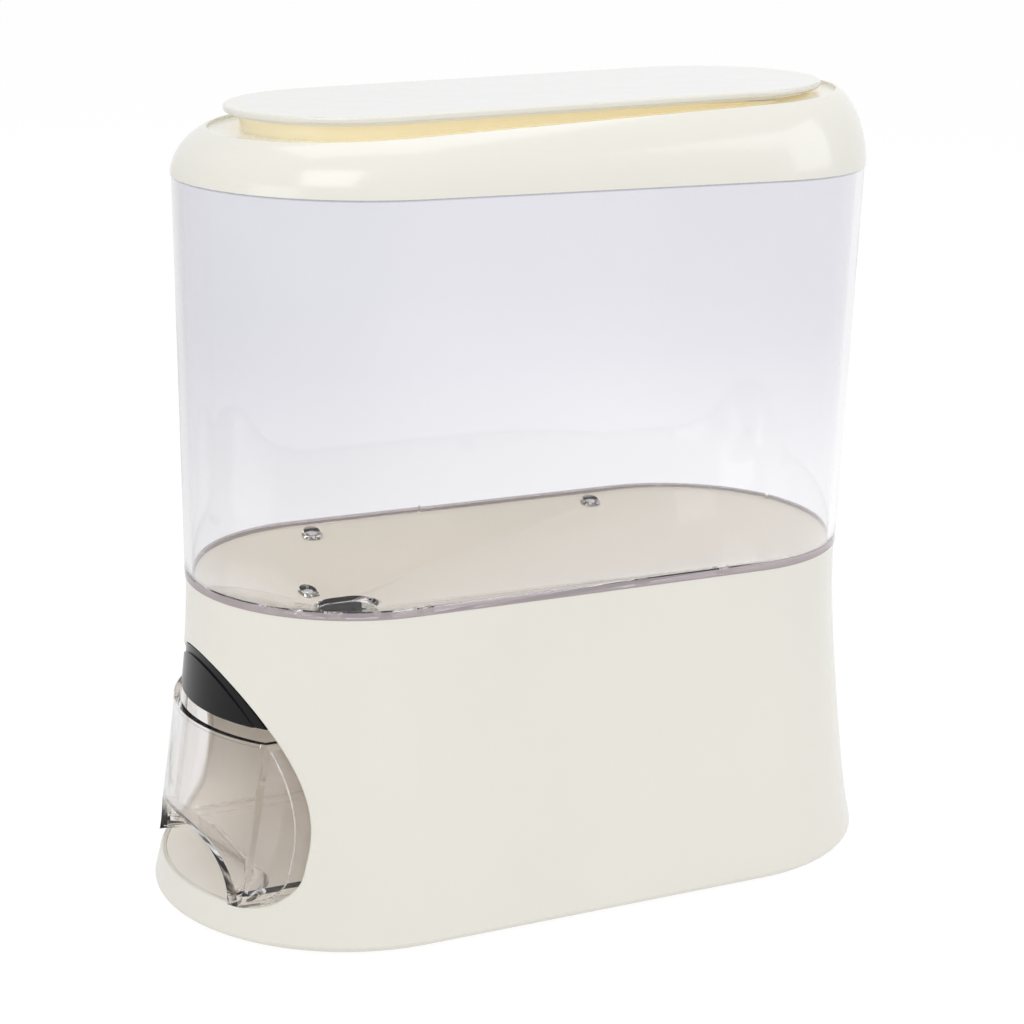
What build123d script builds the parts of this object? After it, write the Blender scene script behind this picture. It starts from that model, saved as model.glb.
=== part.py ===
from build123d import *
import os
from math import acos, cos, hypot, pi, radians, sin, sqrt, tan

# Rice dispenser with a drawer. Millimetres, +Z up, origin on the table under the middle.
# The long axis is X. The dispensing end, with the push key and the drawer, looks along -X.
# Seen from above every casing is an obround: two round ends a straight run apart.

# ---- shared sizes ----
half_run = 90.0             # middle of the object to the axis of each round end
slide_gap = 0.4             # between a sliding piece and its guide
seat_gap = 0.3              # between two pieces that are assembled and stay put

# ---- base casing; its radii grow from the tank's, its upper heights hang from its top ----
base_bottom = 1.5           # lower edge of the casing over the table
base_top = 154.0
base_wall = 2.6
foot_edge_height = 4.5      # top of the rounded foot edge
foot_edge_round = 2.4
foot_flare = 16.5           # the foot is this much wider than the neck
knee_height = 47.5
knee_flare = 9.1
waist_drop = 54.0           # waist below the casing's top
waist_flare = 3.0
neck_drop = 4.0
neck_step = 0.5             # the neck is this much narrower than the tank that stands on it
deck_wall = 2.4
deck_gap = 0.6              # air between the deck and the tank floor above it

# ---- front opening: a flat sill, round lower corners and an elliptical arch ----
opening_sill = 17.4
opening_margin = 17.1       # casing left beside the opening, at the knee
opening_corner = 18.0
opening_round = 1.2         # rounded outer edge
arch_spring = 45.0          # height where the arch starts
arch_drop = 28.8            # top of the arch below the casing's top

# ---- clear tank ----
tank_bottom_radius = 77.0
tank_taper = 3.4            # the tank is this much wider at its top
tank_height = 186.0
tank_wall = 3.4
tank_flange = 3.5           # thick lower edge that stands on the base
spigot_rise = 4.5
spigot_wall = 1.4
floor_drop = 20.0           # the tank floor falls this far from its rim to the outlet
floor_wall = 3.0
outlet_inset = 72.9         # outlet behind the inside of the casing's front
outlet_half_run = 4.0
outlet_radius = 11.0
outlet_rim = 2.5            # floor left round the outlet

# ---- lid ----
lid_overhang = 0.6
dome_rise = 30.4
dome_slope = 0.0545         # the dome is higher towards the back, in rise per length
dome_inset = 22.5
dome_power = 1.85
crest_inset = 15.0
crest_land = 1.2
grip_depth = 1.5            # the grip groove lies this far under the crest
grip_neck_inset = 31.0
lid_wall = 2.6
cavity_straight = 6.2       # height of the straight part that goes over the spigot
cavity_step = 2.0           # shelf over the spigot's edge
cavity_inset = 25.0
cavity_drop = 14.5          # the hollow's dome rises this much less than the outer one
cavity_power = 2.3
seal_height = 1.5
plate_inset = 23.7
plate_lift = 6.82           # top of the plate over the crest, both at the middle
plate_slope = 0.0296
plate_thickness = 3.0
plate_round = 1.1
plate_skirt = 1.6
plate_skirt_wall = 1.7

# ---- drawer cup ----
cup_proud = 2.6             # the cup front stands this far out of the casing
cup_wall = 2.5
cup_corner = 4.5
cup_drop = 59.4             # rim of the cup below the casing's top
cup_lift = 4.4              # the cup's floor over the sill
cup_floor_wall = 2.8
cup_length = 29.0           # from the outlet to the back of the cup
cup_bead_height = 1.6
cup_bead_proud = 0.4
cup_bead_inset = 1.4
panel_depth = 9.0           # rim of the cup's front panel, from its face backwards
panel_wall = 2.2
scoop_inset = 5.9           # finger scoop in from the sides of the cup
scoop_top = 47.0
scoop_corner = 23.5
scoop_angle = 42.0          # fall of the scoop towards the cup floor, in degrees
scoop_wall = 2.4

# ---- drawer bay ----
bay_wall = 2.2
bay_gap = 0.2               # the bay is this much wider than the opening in the casing
bay_stop = 3.8              # from the back of the cup to the bay's back wall
bay_over_cup = 2.4
bay_leg_radius = 4.5
bay_leg_front = 49.0        # front legs ahead of the outlet
bay_leg_back = 19.0
bay_leg_front_inset = 28.5  # legs in from the side of the opening
bay_leg_back_inset = 20.5

# ---- push key and gate ----
key_over_cup = 5.4
key_gap = 0.8               # between the key and the arch
key_set_back = 0.3          # the key face lies this far inside the casing surface
key_wall = 2.6
key_border = 3.6            # lower border along the arch
key_step = 0.8              # the border lies this much lower than the face
key_skirt = 3.0             # the key's hood goes on this far behind its block
block_clearance = 3.9       # from the casing's front wall to the block that carries the gate
block_length = 14.0
block_half_width = 18.0
block_lift = 12.0
gate_window = 16.0          # opening through the gate along its travel
gate_land = 4.0             # overlap that keeps the closed gate tight
gate_half_width = 24.0
gate_wall = 2.6
gate_corner = 4.0
gate_tail = 18.0            # gate behind the outlet window
window_half_width = 10.5
window_chamfer = 1.0
housing_wall = 2.4
housing_rail = 6.0
housing_tail = 33.0         # housing behind the outlet
housing_clearance = 4.0     # from the pushed-in block to the housing
spring_seat_lift = 4.0      # lower edge of the plate that the springs push on, over the key's
spring_lift = 10.0
chute_over_cup = 3.4
chute_wall = 1.6
chute_ease = 1.0            # the chute is this much wider than the window above it
chute_narrowing = 1.0
chute_corner = 2.4
chute_flange = 2.0
spring_y = 24.0
spring_coil_radius = 3.5    # to the middle of the wire
spring_wire = 0.9
spring_boss_radius = 4.6
spring_boss_depth = 4.0     # end of the boss behind the front of the block
spring_peg_radius = 2.6
spring_peg_length = 6.0

# ---- fasteners and feet ----
screw_radius = 1.5
screw_head_radius = 2.6
screw_head = 1.5
screw_grip = 5.0            # length of thread in a post
hole_gap = 0.1              # round a screw
hole_end = 1.0              # hole left past the end of a screw
boss_radius = 5.2           # bosses under the tank floor
boss_depth = 5.0            # from the floor's top to the end of its boss
recess_radius = 4.2
recess_depth = 2.0
tank_screw_length = 6.5
tank_screw_inset = 8.6      # in from the side of the tank
tank_screw_front = 7.0      # behind the front axis
tank_screw_back = 17.0      # ahead of the back axis
throat_screw_x = 12.6       # ahead of the outlet
throat_screw_y = 7.7        # beside the outlet
post_wall = 2.2
gate_post_radius = 4.0
gate_screw_inset = 6.0
key_screw_y = 10.0
plate_screw_inset = 7.3     # in from the middle of the casing's lower slope
plate_screw_front = 60.0    # behind the front axis
plate_screw_back = 30.0     # ahead of the back axis
plate_post_radius = 4.0
plate_post_rise = 21.5
plate_rib = 3.0
base_plate_wall = 3.0
base_plate_lip = 5.0
base_plate_lip_wall = 1.5
rubber_radius = 9.0
rubber_recess = 1.2
rubber_reach = 15.0         # feet past the axes of the round ends
rubber_inset = 35.0         # feet in from the foot edge

# ---- sizes that follow: casing ----
neck_radius = tank_bottom_radius - neck_step
neck_height = base_top - neck_drop
waist_radius = neck_radius + waist_flare
waist_height = base_top - waist_drop
knee_radius = neck_radius + knee_flare
foot_radius = neck_radius + foot_flare
front_inside = -half_run - neck_radius + base_wall
far = 4 * foot_radius       # past the object on every side
opening_half_width = knee_radius - opening_margin
arch_rise = base_top - arch_drop - arch_spring

# ---- sizes that follow: tank and deck ----
tank_top = base_top + tank_height
tank_top_radius = tank_bottom_radius + tank_taper
floor_rim = base_top + tank_flange
tank_inner_bottom = tank_bottom_radius - tank_wall
tank_inner_top = tank_top_radius - tank_wall
outlet_x = front_inside + outlet_inset
outlet_top = floor_rim - floor_drop
outlet_bottom = outlet_top - floor_wall
throat_radius = outlet_radius + outlet_rim
throat_back = outlet_x + throat_radius - outlet_rim
spigot_radius = tank_inner_top + spigot_wall
spigot_top = tank_top + spigot_rise
deck_rim = base_top - deck_gap
deck_rim_radius = neck_radius - base_wall + seat_gap
deck_low = outlet_bottom - deck_gap
well_radius = boss_radius + seat_gap
post_radius = well_radius + post_wall
hole_radius = screw_radius + hole_gap

# ---- sizes that follow: lid ----
lid_radius = tank_top_radius + lid_overhang
dome_flat_radius = lid_radius - dome_inset
crest_radius = lid_radius - crest_inset
grip_neck_radius = lid_radius - grip_neck_inset
cavity_radius = spigot_radius - cavity_step
cavity_flat_radius = lid_radius - cavity_inset
cavity_low = tank_top + cavity_straight
cavity_rise = dome_rise - cavity_drop
crest_share = (crest_radius - dome_flat_radius) / (lid_radius - dome_flat_radius)
crest_rise = (1 - crest_share**dome_power) ** (1 / dome_power)
crest_height = tank_top + dome_rise * crest_rise
crest_slope = dome_slope * crest_rise
plate_radius = lid_radius - plate_inset
plate_top = crest_height + plate_lift
plate_low = plate_top - plate_thickness

# ---- sizes that follow: cup and bay ----
cup_top = base_top - cup_drop
arch_share = sqrt(1 - ((cup_top - arch_spring) / arch_rise) ** 2)
cup_half_width = opening_half_width * arch_share - 2 * slide_gap
cup_bottom = opening_sill + slide_gap
cup_floor = opening_sill + cup_lift
cup_inside = cup_floor + cup_floor_wall
cup_back = outlet_x + cup_length
cup_bead_half_width = cup_half_width - cup_bead_inset
scoop_half_width = cup_half_width - scoop_inset
scoop_plane = -half_run - knee_radius - cup_proud
bay_back = cup_back + bay_stop + bay_wall
bay_top = cup_top + bay_over_cup
bay_legs = [
    (outlet_x - bay_leg_front, opening_half_width - bay_leg_front_inset),
    (outlet_x - bay_leg_front, bay_leg_front_inset - opening_half_width),
    (outlet_x + bay_leg_back, opening_half_width - bay_leg_back_inset),
    (outlet_x + bay_leg_back, bay_leg_back_inset - opening_half_width),
]

# ---- sizes that follow: key, gate and chute ----
key_stroke = gate_window + gate_land
key_bottom = cup_top + key_over_cup
block_front = front_inside + block_clearance
block_back = block_front + block_length
block_bottom = key_bottom + block_lift
key_back = block_back + key_skirt
key_screw_x = (block_front + block_back) / 2
housing_top = deck_low - deck_wall - seat_gap
housing_front = block_back + key_stroke + housing_clearance
housing_back = outlet_x + housing_tail
gate_top = housing_top - housing_wall - slide_gap
gate_bottom = gate_top - gate_wall
housing_half_width = gate_half_width + slide_gap + housing_rail
housing_bottom = gate_bottom - slide_gap - housing_wall
window_rest_x = outlet_x - key_stroke
gate_front = block_front + seat_gap
gate_back = outlet_x + gate_window / 2 + gate_tail
spring_seat_low = key_bottom + spring_seat_lift
spring_z = key_bottom + spring_lift
spring_boss_end = block_front + spring_boss_depth
chute_top = housing_bottom - chute_flange
chute_mouth = cup_top + chute_over_cup
chute_half_length = gate_window / 2 + chute_ease
chute_half_width = window_half_width + chute_ease

# ---- sizes that follow: fasteners and feet ----
tank_screw_y = tank_inner_bottom - tank_screw_inset
tank_screw_spots = [
    (tank_screw_front - half_run, tank_screw_y),
    (tank_screw_front - half_run, -tank_screw_y),
    (half_run - tank_screw_back, tank_screw_y),
    (half_run - tank_screw_back, -tank_screw_y),
    (outlet_x - throat_screw_x, outlet_radius + throat_screw_y),
    (outlet_x - throat_screw_x, -outlet_radius - throat_screw_y),
]
gate_screw_y = housing_half_width - housing_rail / 2
gate_screw_xs = (housing_front + gate_screw_inset, housing_back - gate_screw_inset)
gate_screw_spots = [(x, y) for x in gate_screw_xs for y in (gate_screw_y, -gate_screw_y)]
gate_screw_length = housing_top - chute_top + screw_grip
key_screw_spots = [(key_screw_x, key_screw_y), (key_screw_x, -key_screw_y)]
base_plate_top = base_bottom + base_plate_wall
low_seat = base_bottom + screw_head + seat_gap
low_screw_length = base_plate_top - low_seat + screw_grip
plate_screw_y = (foot_radius + knee_radius) / 2 - plate_screw_inset
plate_screw_spots = [
    (plate_screw_front - half_run, plate_screw_y),
    (plate_screw_front - half_run, -plate_screw_y),
    (half_run - plate_screw_back, plate_screw_y),
    (half_run - plate_screw_back, -plate_screw_y),
    (half_run + plate_screw_y, 0),
]
plate_post_top = base_plate_top + plate_post_rise
rubber_x = half_run + rubber_reach
rubber_y = foot_radius - rubber_inset
rubber_spots = {
    "foot_front_left": (-rubber_x, rubber_y),
    "foot_front_right": (-rubber_x, -rubber_y),
    "foot_back_left": (rubber_x, rubber_y),
    "foot_back_right": (rubber_x, -rubber_y),
}


def flare(extra, low, high, rounding=0.0):
    """Half section of the base form, x as radius and y as height, grown by extra."""
    foot = foot_radius + extra
    neck = neck_radius + extra
    with BuildSketch() as section:
        with BuildLine():
            side = Spline(
                (foot, foot_edge_height),
                (knee_radius + extra, knee_height),
                (waist_radius + extra, waist_height),
                (neck, neck_height),
                tangents=((-0.25, 1.0), (0.0, 1.0)),
            )
            Polyline(side @ 1, (neck, high), (0, high), (0, low), (foot - rounding, low))
            if rounding:
                middle_x = foot - rounding * (1 - sin(pi / 4))
                middle_z = low + (foot_edge_height - low) * (1 - cos(pi / 4))
                ThreePointArc((foot - rounding, low), (middle_x, middle_z), side @ 0)
            else:
                Line((foot, low), side @ 0)
        make_face()
    return section.sketch


def column(*points):
    """Half section through points of radius and height, closed along the axis."""
    with BuildSketch() as section:
        with BuildLine():
            Polyline((0, points[0][1]), *points, (0, points[-1][1]), close=True)
        make_face()
    return section.sketch


def around(section):
    """Carry a half section round both ends and along both sides of the obround."""
    with BuildPart() as body:
        with BuildSketch(Plane.YZ.offset(-half_run)):
            add(section)
        revolve(axis=Axis((-half_run, 0, 0), (0, 0, 1)), revolution_arc=180)
        mirror(about=Plane.YZ)
        with BuildSketch(Plane.YZ.offset(-half_run)):
            add(section)
            mirror(about=Plane.YZ)
        extrude(amount=2 * half_run)
    return body.part


def slab(radius, low, high, run=half_run, x=0.0):
    """Obround slab between two heights, its middle at x."""
    with BuildPart() as body:
        with BuildSketch(Plane.XY.offset(low)):
            with Locations((x, 0)):
                SlotCenterToCenter(2 * run, 2 * radius)
        extrude(amount=high - low)
    return body.part


def funnel(rim_radius, rim_height, outlet_edge, outlet_height):
    """Solid funnel that falls from the long rim to the small off-centre outlet."""
    with BuildPart() as body:
        with BuildSketch(Plane.XY.offset(outlet_height)):
            with Locations((outlet_x, 0)):
                SlotCenterToCenter(2 * outlet_half_run, 2 * outlet_edge)
        with BuildSketch(Plane.XY.offset(rim_height)):
            SlotCenterToCenter(2 * half_run, 2 * rim_radius)
        loft(ruled=True)
    return body.part


def floor_height(x, y):
    """Height of the tank floor at a point, found by halving between outlet and rim."""
    low = 0.0
    high = 1.0
    for _ in range(40):
        share = (low + high) / 2
        radius = outlet_radius + (tank_inner_bottom - outlet_radius) * share
        run = outlet_half_run + (half_run - outlet_half_run) * share
        if hypot(max(abs(x - outlet_x * (1 - share)) - run, 0), y) > radius:
            low = share
        else:
            high = share
    return outlet_top + floor_drop * share


def arch_prism(extra, front, back):
    """The front opening's outline, grown by extra and carried straight along X."""
    half_width = opening_half_width + extra
    sill = opening_sill - extra
    corner = opening_corner + extra
    inner = half_width - corner
    with BuildPart() as prism:
        with BuildSketch(Plane.YZ.offset(front)):
            with BuildLine():
                EllipticalCenterArc((0, arch_spring), half_width, arch_rise + extra, arc_size=180)
                Line((-half_width, arch_spring), (-half_width, sill + corner))
                CenterArc((-inner, sill + corner), corner, 180, 90)
                Line((-inner, sill), (inner, sill))
                CenterArc((inner, sill + corner), corner, 270, 90)
                Line((half_width, sill + corner), (half_width, arch_spring))
            make_face()
        extrude(amount=back - front)
    return prism.part


def key_form(inset, low, back):
    """Front of the casing within the arch, inset on every side, above a height."""
    with BuildPart() as body:
        add(around(flare(-key_set_back - inset, base_bottom, base_top)))
        add(arch_prism(-key_gap - inset, -far, back), mode=Mode.INTERSECT)
        split(bisect_by=Plane.XY.offset(low), keep=Keep.TOP)
    return body.part


def cup_hollow_form(low, high):
    """Inside of the drawer cup between two heights."""
    half_width = cup_half_width - cup_wall
    back = cup_back - cup_wall
    with BuildPart() as body:
        add(around(flare(cup_proud - cup_wall, base_bottom, base_top)))
        with BuildSketch(Plane.XY.offset(low)):
            with Locations((back - far / 2, 0)):
                Rectangle(far, 2 * half_width)
        extrude(amount=high - low, mode=Mode.INTERSECT)
        uprights = body.edges().filter_by(lambda edge: abs(edge.tangent_at(0.5).Z) > 0.9)
        fillet(uprights.filter_by(lambda edge: abs(edge.center().Y) > half_width - 0.1), cup_corner - cup_wall)
    return body.part


def scoop_prism(extra):
    """Rounded finger scoop that falls obliquely into the cup, grown by extra."""
    depth = 2 * scoop_top
    fall = (cos(radians(scoop_angle)), 0, -sin(radians(scoop_angle)))
    with BuildPart() as body:
        with BuildSketch(Plane.YZ.offset(scoop_plane)):
            with Locations((0, scoop_top + extra - depth / 2)):
                RectangleRounded(2 * (scoop_half_width + extra), depth, scoop_corner + extra)
        extrude(amount=scoop_top, dir=fall, both=True)
    return body.part


def tilted(height, slope):
    """Plane that rises towards the back by slope, and has its height over the middle."""
    return Plane(origin=(0, 0, height), x_dir=(1, 0, slope), z_dir=(-slope, 0, 1))


def dome(radius, flat_radius, bottom, rise, power, last_share):
    """Solid dome: a superellipse shoulder whose level outlines tilt more on the way up."""
    steps = 6
    last_angle = acos(last_share ** (power / 2))
    with BuildPart() as body:
        for step in range(steps + 1):
            angle = last_angle * step / steps
            share = cos(angle) ** (2 / power)
            height = sin(angle) ** (2 / power)
            with BuildSketch(tilted(bottom + rise * height, dome_slope * height)):
                SlotCenterToCenter(2 * half_run, 2 * (flat_radius + (radius - flat_radius) * share))
        loft()
    return body.part


def screws(spots, length, side=1):
    """Pan-head screws as separate solids. A spot is the seat under a head, side the head's way."""
    with BuildPart() as group:
        for x, y, z in spots:
            with Locations((x, y, z + side * screw_head / 2)):
                Cylinder(screw_head_radius, screw_head)
            with Locations((x, y, z - side * length / 2)):
                Cylinder(screw_radius, length)
    return group.part


def pins(spots, radius, low, high):
    """Upright round bars on several spots, as one shape to add or to cut away."""
    with BuildPart() as group:
        for x, y in spots:
            with Locations((x, y, (low + high) / 2)):
                Cylinder(radius, high - low)
    return group.part


os.makedirs("parts", exist_ok=True)

# ---- base casing: flared shell, sloped deck under the tank, arched front opening ----
floor_heights = [floor_height(x, y) for x, y in tank_screw_spots]
casing_hollow = around(flare(-base_wall, 0, base_top + base_bottom))
opening = arch_prism(0, -far, housing_front)

with BuildPart() as plate_posts:
    add(pins(plate_screw_spots, plate_post_radius, base_plate_top + seat_gap, plate_post_top))
    rib_low = base_plate_top + base_plate_lip + seat_gap
    rib_reach = foot_radius - plate_screw_y
    for x, y in plate_screw_spots:
        with BuildSketch(Plane.XY.offset(rib_low)):
            if y:
                with Locations((x, y + rib_reach / 2 * (1 if y > 0 else -1))):
                    Rectangle(plate_rib, rib_reach)
            else:
                with Locations((x + rib_reach / 2, y)):
                    Rectangle(rib_reach, plate_rib)
        extrude(amount=plate_post_top - rib_low)
    add(around(flare(-base_wall / 2, base_bottom, base_top)), mode=Mode.INTERSECT)

with BuildPart() as base_shell:
    add(around(flare(0, base_bottom, base_top, foot_edge_round)))
    add(casing_hollow, mode=Mode.SUBTRACT)
    add(slab(deck_rim_radius, deck_rim - deck_wall, deck_rim))
    add(funnel(deck_rim_radius, deck_rim - deck_wall, throat_radius, deck_low - deck_wall))
    for spot, height in zip(tank_screw_spots, floor_heights):
        add(pins([spot], post_radius, height - recess_depth - tank_screw_length, deck_rim))
    add(pins(gate_screw_spots, gate_post_radius, housing_top + seat_gap, deck_rim))
    add(funnel(deck_rim_radius, deck_rim, throat_radius, deck_low), mode=Mode.SUBTRACT)
    add(slab(outlet_radius, housing_top, deck_rim, outlet_half_run, outlet_x), mode=Mode.SUBTRACT)
    with BuildSketch(Plane.XY.offset(housing_top)):
        with Locations((outlet_x, 0)):
            SlotCenterToCenter(2 * outlet_half_run, 2 * throat_radius)
        with Locations((throat_back + far / 2, 0)):
            Rectangle(far, far, mode=Mode.SUBTRACT)
    extrude(amount=deck_low - housing_top, mode=Mode.SUBTRACT)
    for spot, height in zip(tank_screw_spots, floor_heights):
        add(pins([spot], well_radius, height - boss_depth - seat_gap, deck_rim), mode=Mode.SUBTRACT)
        add(pins([spot], hole_radius, housing_top, deck_rim), mode=Mode.SUBTRACT)
    for x, y in gate_screw_spots:
        add(pins([(x, y)], hole_radius, housing_top, housing_top + screw_grip + hole_end), mode=Mode.SUBTRACT)
    add(plate_posts.part)
    add(pins(plate_screw_spots, hole_radius, 0, base_plate_top + screw_grip + hole_end), mode=Mode.SUBTRACT)
    add(opening, mode=Mode.SUBTRACT)
    rim_edges = base_shell.edges().filter_by(
        lambda edge: opening.distance_to(edge @ 0.5) < 0.01
        and casing_hollow.distance_to(edge @ 0.5) > base_wall / 2
    )
    fillet(rim_edges, opening_round)
base_shell.part.label = "base_shell"
export_step(base_shell.part, "parts/base_shell.step")

# ---- base plate under the casing, with recesses for feet and screw heads ----
low_screw_spots = plate_screw_spots + bay_legs

with BuildPart() as base_plate:
    add(slab(foot_radius - base_wall - seat_gap, base_bottom, base_plate_top))
    lip_radius = foot_radius - base_wall - slide_gap - base_plate_lip_wall
    add(slab(lip_radius, base_plate_top, base_plate_top + base_plate_lip))
    add(slab(lip_radius - base_plate_lip_wall, base_plate_top, floor_rim), mode=Mode.SUBTRACT)
    add(pins(low_screw_spots, hole_radius, 0, floor_rim), mode=Mode.SUBTRACT)
    add(pins(low_screw_spots, screw_head_radius + seat_gap, 0, low_seat), mode=Mode.SUBTRACT)
    rubber_seats = list(rubber_spots.values())
    add(pins(rubber_seats, rubber_radius + seat_gap, 0, base_bottom + rubber_recess), mode=Mode.SUBTRACT)
base_plate.part.label = "base_plate"
export_step(base_plate.part, "parts/base_plate.step")

# ---- rubber feet, pressed up into the base plate ----
for foot_name, spot in rubber_spots.items():
    with BuildPart() as foot:
        add(pins([spot], rubber_radius, 0, base_bottom + rubber_recess))
        fillet(foot.faces().sort_by(Axis.Z)[0].edges(), rubber_recess / 2)
    foot.part.label = foot_name
    export_step(foot.part, f"parts/{foot_name}.step")

# ---- drawer bay: open box of the opening's section behind the casing, on four legs ----
with BuildPart() as drawer_bay:
    add(arch_prism(bay_gap + bay_wall, -far, bay_back))
    add(around(flare(-base_wall - seat_gap, base_bottom, base_top)), mode=Mode.INTERSECT)
    split(bisect_by=Plane.XY.offset(bay_top), keep=Keep.BOTTOM)
    add(arch_prism(bay_gap, -far, bay_back - bay_wall), mode=Mode.SUBTRACT)
    add(pins(bay_legs, bay_leg_radius, base_plate_top, opening_sill - bay_gap - bay_wall / 2))
    bay_hole_top = base_plate_top + screw_grip + hole_end
    add(pins(bay_legs, hole_radius, 0, bay_hole_top), mode=Mode.SUBTRACT)
drawer_bay.part.label = "drawer_bay"
export_step(drawer_bay.part, "parts/drawer_bay.step")

# ---- clear drawer cup with its bead and the finger scoop under the front ----
with BuildPart() as cup_hollow:
    add(cup_hollow_form(cup_inside, cup_top + cup_wall))
    add(scoop_prism(scoop_wall / cos(radians(scoop_angle))), mode=Mode.SUBTRACT)

with BuildPart() as cup_underside:
    add(cup_hollow_form(0, cup_floor))
    add(scoop_prism(scoop_wall / cos(radians(scoop_angle))), mode=Mode.SUBTRACT)

with BuildPart() as cup_bead:
    add(around(flare(cup_proud + cup_bead_proud, base_bottom, base_top)))
    with BuildSketch(Plane.XY.offset(cup_top - cup_bead_height)):
        with Locations((-half_run - far / 2 - cup_half_width, 0)):
            Rectangle(far, 2 * cup_bead_half_width)
    extrude(amount=cup_bead_height, mode=Mode.INTERSECT)

with BuildPart() as panel_hollow:
    add(arch_prism(-slide_gap - panel_wall, -far, -half_run))
    add(around(flare(cup_proud - cup_wall, base_bottom, base_top)), mode=Mode.INTERSECT)

with BuildPart() as drawer_cup:
    add(arch_prism(-slide_gap, -far, -half_run))
    split(bisect_by=Plane.XY.offset(cup_top), keep=Keep.BOTTOM)
    add(around(flare(cup_proud - panel_depth, base_bottom, base_top)), mode=Mode.SUBTRACT)
    add(panel_hollow.part, mode=Mode.SUBTRACT)
    with BuildSketch(Plane.XY.offset(cup_bottom)):
        with Locations((cup_back - far / 2, 0)):
            Rectangle(far, 2 * cup_half_width)
    extrude(amount=cup_top - cup_bottom)
    back_corners = drawer_cup.edges().filter_by(Axis.Z).filter_by_position(Axis.X, cup_back - cup_wall, far)
    fillet(back_corners, cup_corner)
    add(around(flare(cup_proud, base_bottom, base_top)), mode=Mode.INTERSECT)
    add(cup_bead.part)
    add(cup_hollow.part, mode=Mode.SUBTRACT)
    add(cup_underside.part, mode=Mode.SUBTRACT)
    add(scoop_prism(0), mode=Mode.SUBTRACT)
drawer_cup.part.label = "drawer_cup"
export_step(drawer_cup.part, "parts/drawer_cup.step")

# ---- clear tank: tapered wall, flange, stepped spigot and a floor that falls to the outlet ----
with BuildPart() as hopper_tank:
    add(
        around(
            column(
                (tank_bottom_radius, base_top),
                (tank_top_radius, tank_top),
                (spigot_radius, tank_top),
                (spigot_radius, spigot_top),
            )
        )
    )
    add(
        around(
            column(
                (tank_inner_bottom, floor_rim),
                (tank_inner_top, spigot_top),
                (tank_inner_top, spigot_top + tank_wall),
            )
        ),
        mode=Mode.SUBTRACT,
    )
    tank_rim_radius = tank_inner_bottom - slide_gap
    add(funnel(tank_rim_radius, base_top, throat_radius, outlet_bottom))
    for spot, height in zip(tank_screw_spots, floor_heights):
        add(pins([spot], boss_radius, height - boss_depth, floor_rim))
    add(funnel(tank_inner_bottom, floor_rim, outlet_radius, outlet_top), mode=Mode.SUBTRACT)
    add(slab(outlet_radius, deck_low, floor_rim, outlet_half_run, outlet_x), mode=Mode.SUBTRACT)
    for spot, height in zip(tank_screw_spots, floor_heights):
        add(pins([spot], recess_radius, height - recess_depth, floor_rim), mode=Mode.SUBTRACT)
        add(pins([spot], hole_radius, deck_low - deck_wall, floor_rim), mode=Mode.SUBTRACT)
hopper_tank.part.label = "hopper_tank"
export_step(hopper_tank.part, "parts/hopper_tank.step")

# ---- lid: domed shoulder, grip groove round a neck, and a hollow that goes over the spigot ----
with BuildPart() as lid_neck:
    add(slab(grip_neck_radius, cavity_low, far))
    split(bisect_by=tilted(plate_low, plate_slope), keep=Keep.BOTTOM)

with BuildPart() as neck_hollow:
    add(slab(grip_neck_radius - lid_wall, cavity_low, far))
    split(bisect_by=tilted(plate_low - lid_wall, plate_slope), keep=Keep.BOTTOM)

with BuildPart() as groove:
    with BuildSketch(tilted(crest_height - grip_depth, crest_slope)):
        SlotCenterToCenter(2 * half_run, 2 * (crest_radius - crest_land))
    extrude(amount=4 * grip_depth)

with BuildPart() as lid_shell:
    add(dome(lid_radius, dome_flat_radius, tank_top, dome_rise, dome_power, crest_share))
    add(groove.part, mode=Mode.SUBTRACT)
    add(lid_neck.part)
    add(slab(spigot_radius + seat_gap, base_top, cavity_low), mode=Mode.SUBTRACT)
    add(dome(cavity_radius, cavity_flat_radius, cavity_low, cavity_rise, cavity_power, 0), mode=Mode.SUBTRACT)
    add(neck_hollow.part, mode=Mode.SUBTRACT)
lid_shell.part.label = "lid_shell"
export_step(lid_shell.part, "parts/lid_shell.step")

# ---- plate on top of the lid, with the small skirt that centres it on the neck ----
with BuildPart() as lid_top_plate:
    with BuildSketch(tilted(plate_low, plate_slope)):
        SlotCenterToCenter(2 * half_run, 2 * plate_radius)
    extrude(amount=plate_thickness)
    fillet(lid_top_plate.faces().sort_by(Axis.Z)[-1].edges(), plate_round)
    with BuildSketch(tilted(plate_low, plate_slope)):
        SlotCenterToCenter(2 * half_run, 2 * (grip_neck_radius + seat_gap + plate_skirt_wall))
        SlotCenterToCenter(2 * half_run, 2 * (grip_neck_radius + seat_gap), mode=Mode.SUBTRACT)
    extrude(amount=-plate_skirt)
lid_top_plate.part.label = "lid_top_plate"
export_step(lid_top_plate.part, "parts/lid_top_plate.step")

# ---- seal ring under the lid's shelf, over the spigot's edge ----
with BuildPart() as lid_seal:
    add(slab(spigot_radius, cavity_low - seal_height, cavity_low))
    add(slab(cavity_radius + seat_gap, spigot_top, cavity_low + seal_height), mode=Mode.SUBTRACT)
lid_seal.part.label = "lid_seal"
export_step(lid_seal.part, "parts/lid_seal.step")

# ---- push key: hooded shell of the casing's form, with spring bosses and the gate block ----
with BuildPart() as spring_bosses:
    with BuildSketch(Plane.YZ.offset(spring_boss_end)):
        with Locations((spring_y, spring_z), (-spring_y, spring_z)):
            Circle(spring_boss_radius)
    extrude(amount=-far)
    add(key_form(key_wall / 2, key_bottom, key_back), mode=Mode.INTERSECT)

with BuildPart() as border_step:
    add(arch_prism(key_gap, -far, key_back))
    add(arch_prism(-key_gap - key_border, -far, key_back), mode=Mode.SUBTRACT)
    add(around(flare(-key_set_back - key_step, base_bottom, base_top)), mode=Mode.SUBTRACT)

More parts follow.
